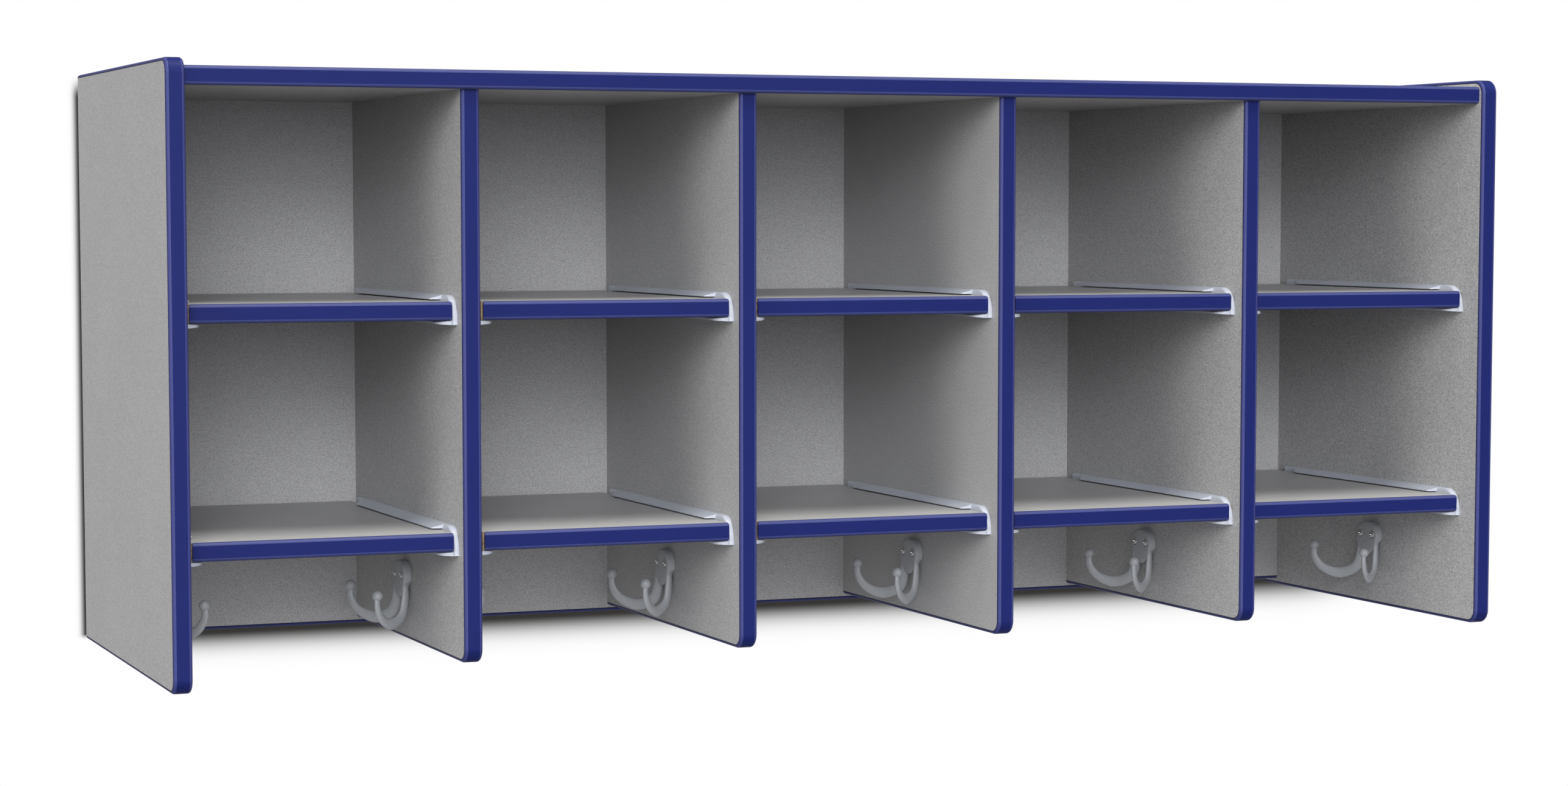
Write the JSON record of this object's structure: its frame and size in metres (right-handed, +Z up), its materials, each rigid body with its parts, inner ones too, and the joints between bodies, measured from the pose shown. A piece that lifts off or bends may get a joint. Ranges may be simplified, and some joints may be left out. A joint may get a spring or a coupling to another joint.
{
  "type": "wall cubby and coat hook unit",
  "caption": "Wall-hung cubby unit in grey laminate with blue edge band: open compartments with sliding shelves in plastic rails, above double coat hooks.",
  "frame": {"origin": "middle of the back board's rear face, where the unit is screwed to the wall", "axes": "+Y into the wall, -Y out of the open front, +Z up, +X to the right of someone facing the unit"},
  "size_m": [1.232, 0.381, 0.504],
  "materials": {
    "grey_laminate": "speckled light grey laminate on particle board, satin",
    "blue_edge_band": "deep blue edge band, satin",
    "rail_plastic": "pale grey moulded plastic, satin",
    "hook_plastic": "mid grey moulded plastic, satin"
  },
  "bodies": {
    "carcass": {"end_left": "grey_laminate", "end_right": "grey_laminate", "top_board": "grey_laminate", "back_board": "grey_laminate", "partition_1": "grey_laminate", "partition_2": "grey_laminate", "partition_3": "grey_laminate", "partition_4": "grey_laminate", "band_end_left": "blue_edge_band", "band_end_right": "blue_edge_band", "band_top": "blue_edge_band", "band_back": "blue_edge_band", "band_partition_1": "blue_edge_band", "band_partition_2": "blue_edge_band", "band_partition_3": "blue_edge_band", "band_partition_4": "blue_edge_band", "rail_upper_1_left": "rail_plastic", "rail_upper_1_right": "rail_plastic", "rail_lower_1_left": "rail_plastic", "rail_lower_1_right": "rail_plastic", "rail_upper_2_left": "rail_plastic", "rail_upper_2_right": "rail_plastic", "rail_lower_2_left": "rail_plastic", "rail_lower_2_right": "rail_plastic", "rail_upper_3_left": "rail_plastic", "rail_upper_3_right": "rail_plastic", "rail_lower_3_left": "rail_plastic", "rail_lower_3_right": "rail_plastic", "rail_upper_4_left": "rail_plastic", "rail_upper_4_right": "rail_plastic", "rail_lower_4_left": "rail_plastic", "rail_lower_4_right": "rail_plastic", "rail_upper_5_left": "rail_plastic", "rail_upper_5_right": "rail_plastic", "rail_lower_5_left": "rail_plastic", "rail_lower_5_right": "rail_plastic", "hook_1_left": "hook_plastic", "hook_1_right": "hook_plastic", "hook_2_left": "hook_plastic", "hook_2_right": "hook_plastic", "hook_3_left": "hook_plastic", "hook_3_right": "hook_plastic", "hook_4_left": "hook_plastic", "hook_4_right": "hook_plastic", "hook_5_left": "hook_plastic", "hook_5_right": "hook_plastic"},
    "shelf_upper_1": {"shelf_upper_1": "grey_laminate"},
    "shelf_lower_1": {"shelf_lower_1": "grey_laminate"},
    "shelf_upper_2": {"shelf_upper_2": "grey_laminate"},
    "shelf_lower_2": {"shelf_lower_2": "grey_laminate"},
    "shelf_upper_3": {"shelf_upper_3": "grey_laminate"},
    "shelf_lower_3": {"shelf_lower_3": "grey_laminate"},
    "shelf_upper_4": {"shelf_upper_4": "grey_laminate"},
    "shelf_lower_4": {"shelf_lower_4": "grey_laminate"},
    "shelf_upper_5": {"shelf_upper_5": "grey_laminate"},
    "shelf_lower_5": {"shelf_lower_5": "grey_laminate"}
  },
  "joints": [
    {"name": "shelf_upper_1_slide", "type": "slide", "parent": "carcass", "child": "shelf_upper_1", "axis": [0, -1, 0], "range_m": [0, 0.3]},
    {"name": "shelf_lower_1_slide", "type": "slide", "parent": "carcass", "child": "shelf_lower_1", "axis": [0, -1, 0], "range_m": [0, 0.3]},
    {"name": "shelf_upper_2_slide", "type": "slide", "parent": "carcass", "child": "shelf_upper_2", "axis": [0, -1, 0], "range_m": [0, 0.3]},
    {"name": "shelf_lower_2_slide", "type": "slide", "parent": "carcass", "child": "shelf_lower_2", "axis": [0, -1, 0], "range_m": [0, 0.3]},
    {"name": "shelf_upper_3_slide", "type": "slide", "parent": "carcass", "child": "shelf_upper_3", "axis": [0, -1, 0], "range_m": [0, 0.3]},
    {"name": "shelf_lower_3_slide", "type": "slide", "parent": "carcass", "child": "shelf_lower_3", "axis": [0, -1, 0], "range_m": [0, 0.3]},
    {"name": "shelf_upper_4_slide", "type": "slide", "parent": "carcass", "child": "shelf_upper_4", "axis": [0, -1, 0], "range_m": [0, 0.3]},
    {"name": "shelf_lower_4_slide", "type": "slide", "parent": "carcass", "child": "shelf_lower_4", "axis": [0, -1, 0], "range_m": [0, 0.3]},
    {"name": "shelf_upper_5_slide", "type": "slide", "parent": "carcass", "child": "shelf_upper_5", "axis": [0, -1, 0], "range_m": [0, 0.3]},
    {"name": "shelf_lower_5_slide", "type": "slide", "parent": "carcass", "child": "shelf_lower_5", "axis": [0, -1, 0], "range_m": [0, 0.3]}
  ]
}
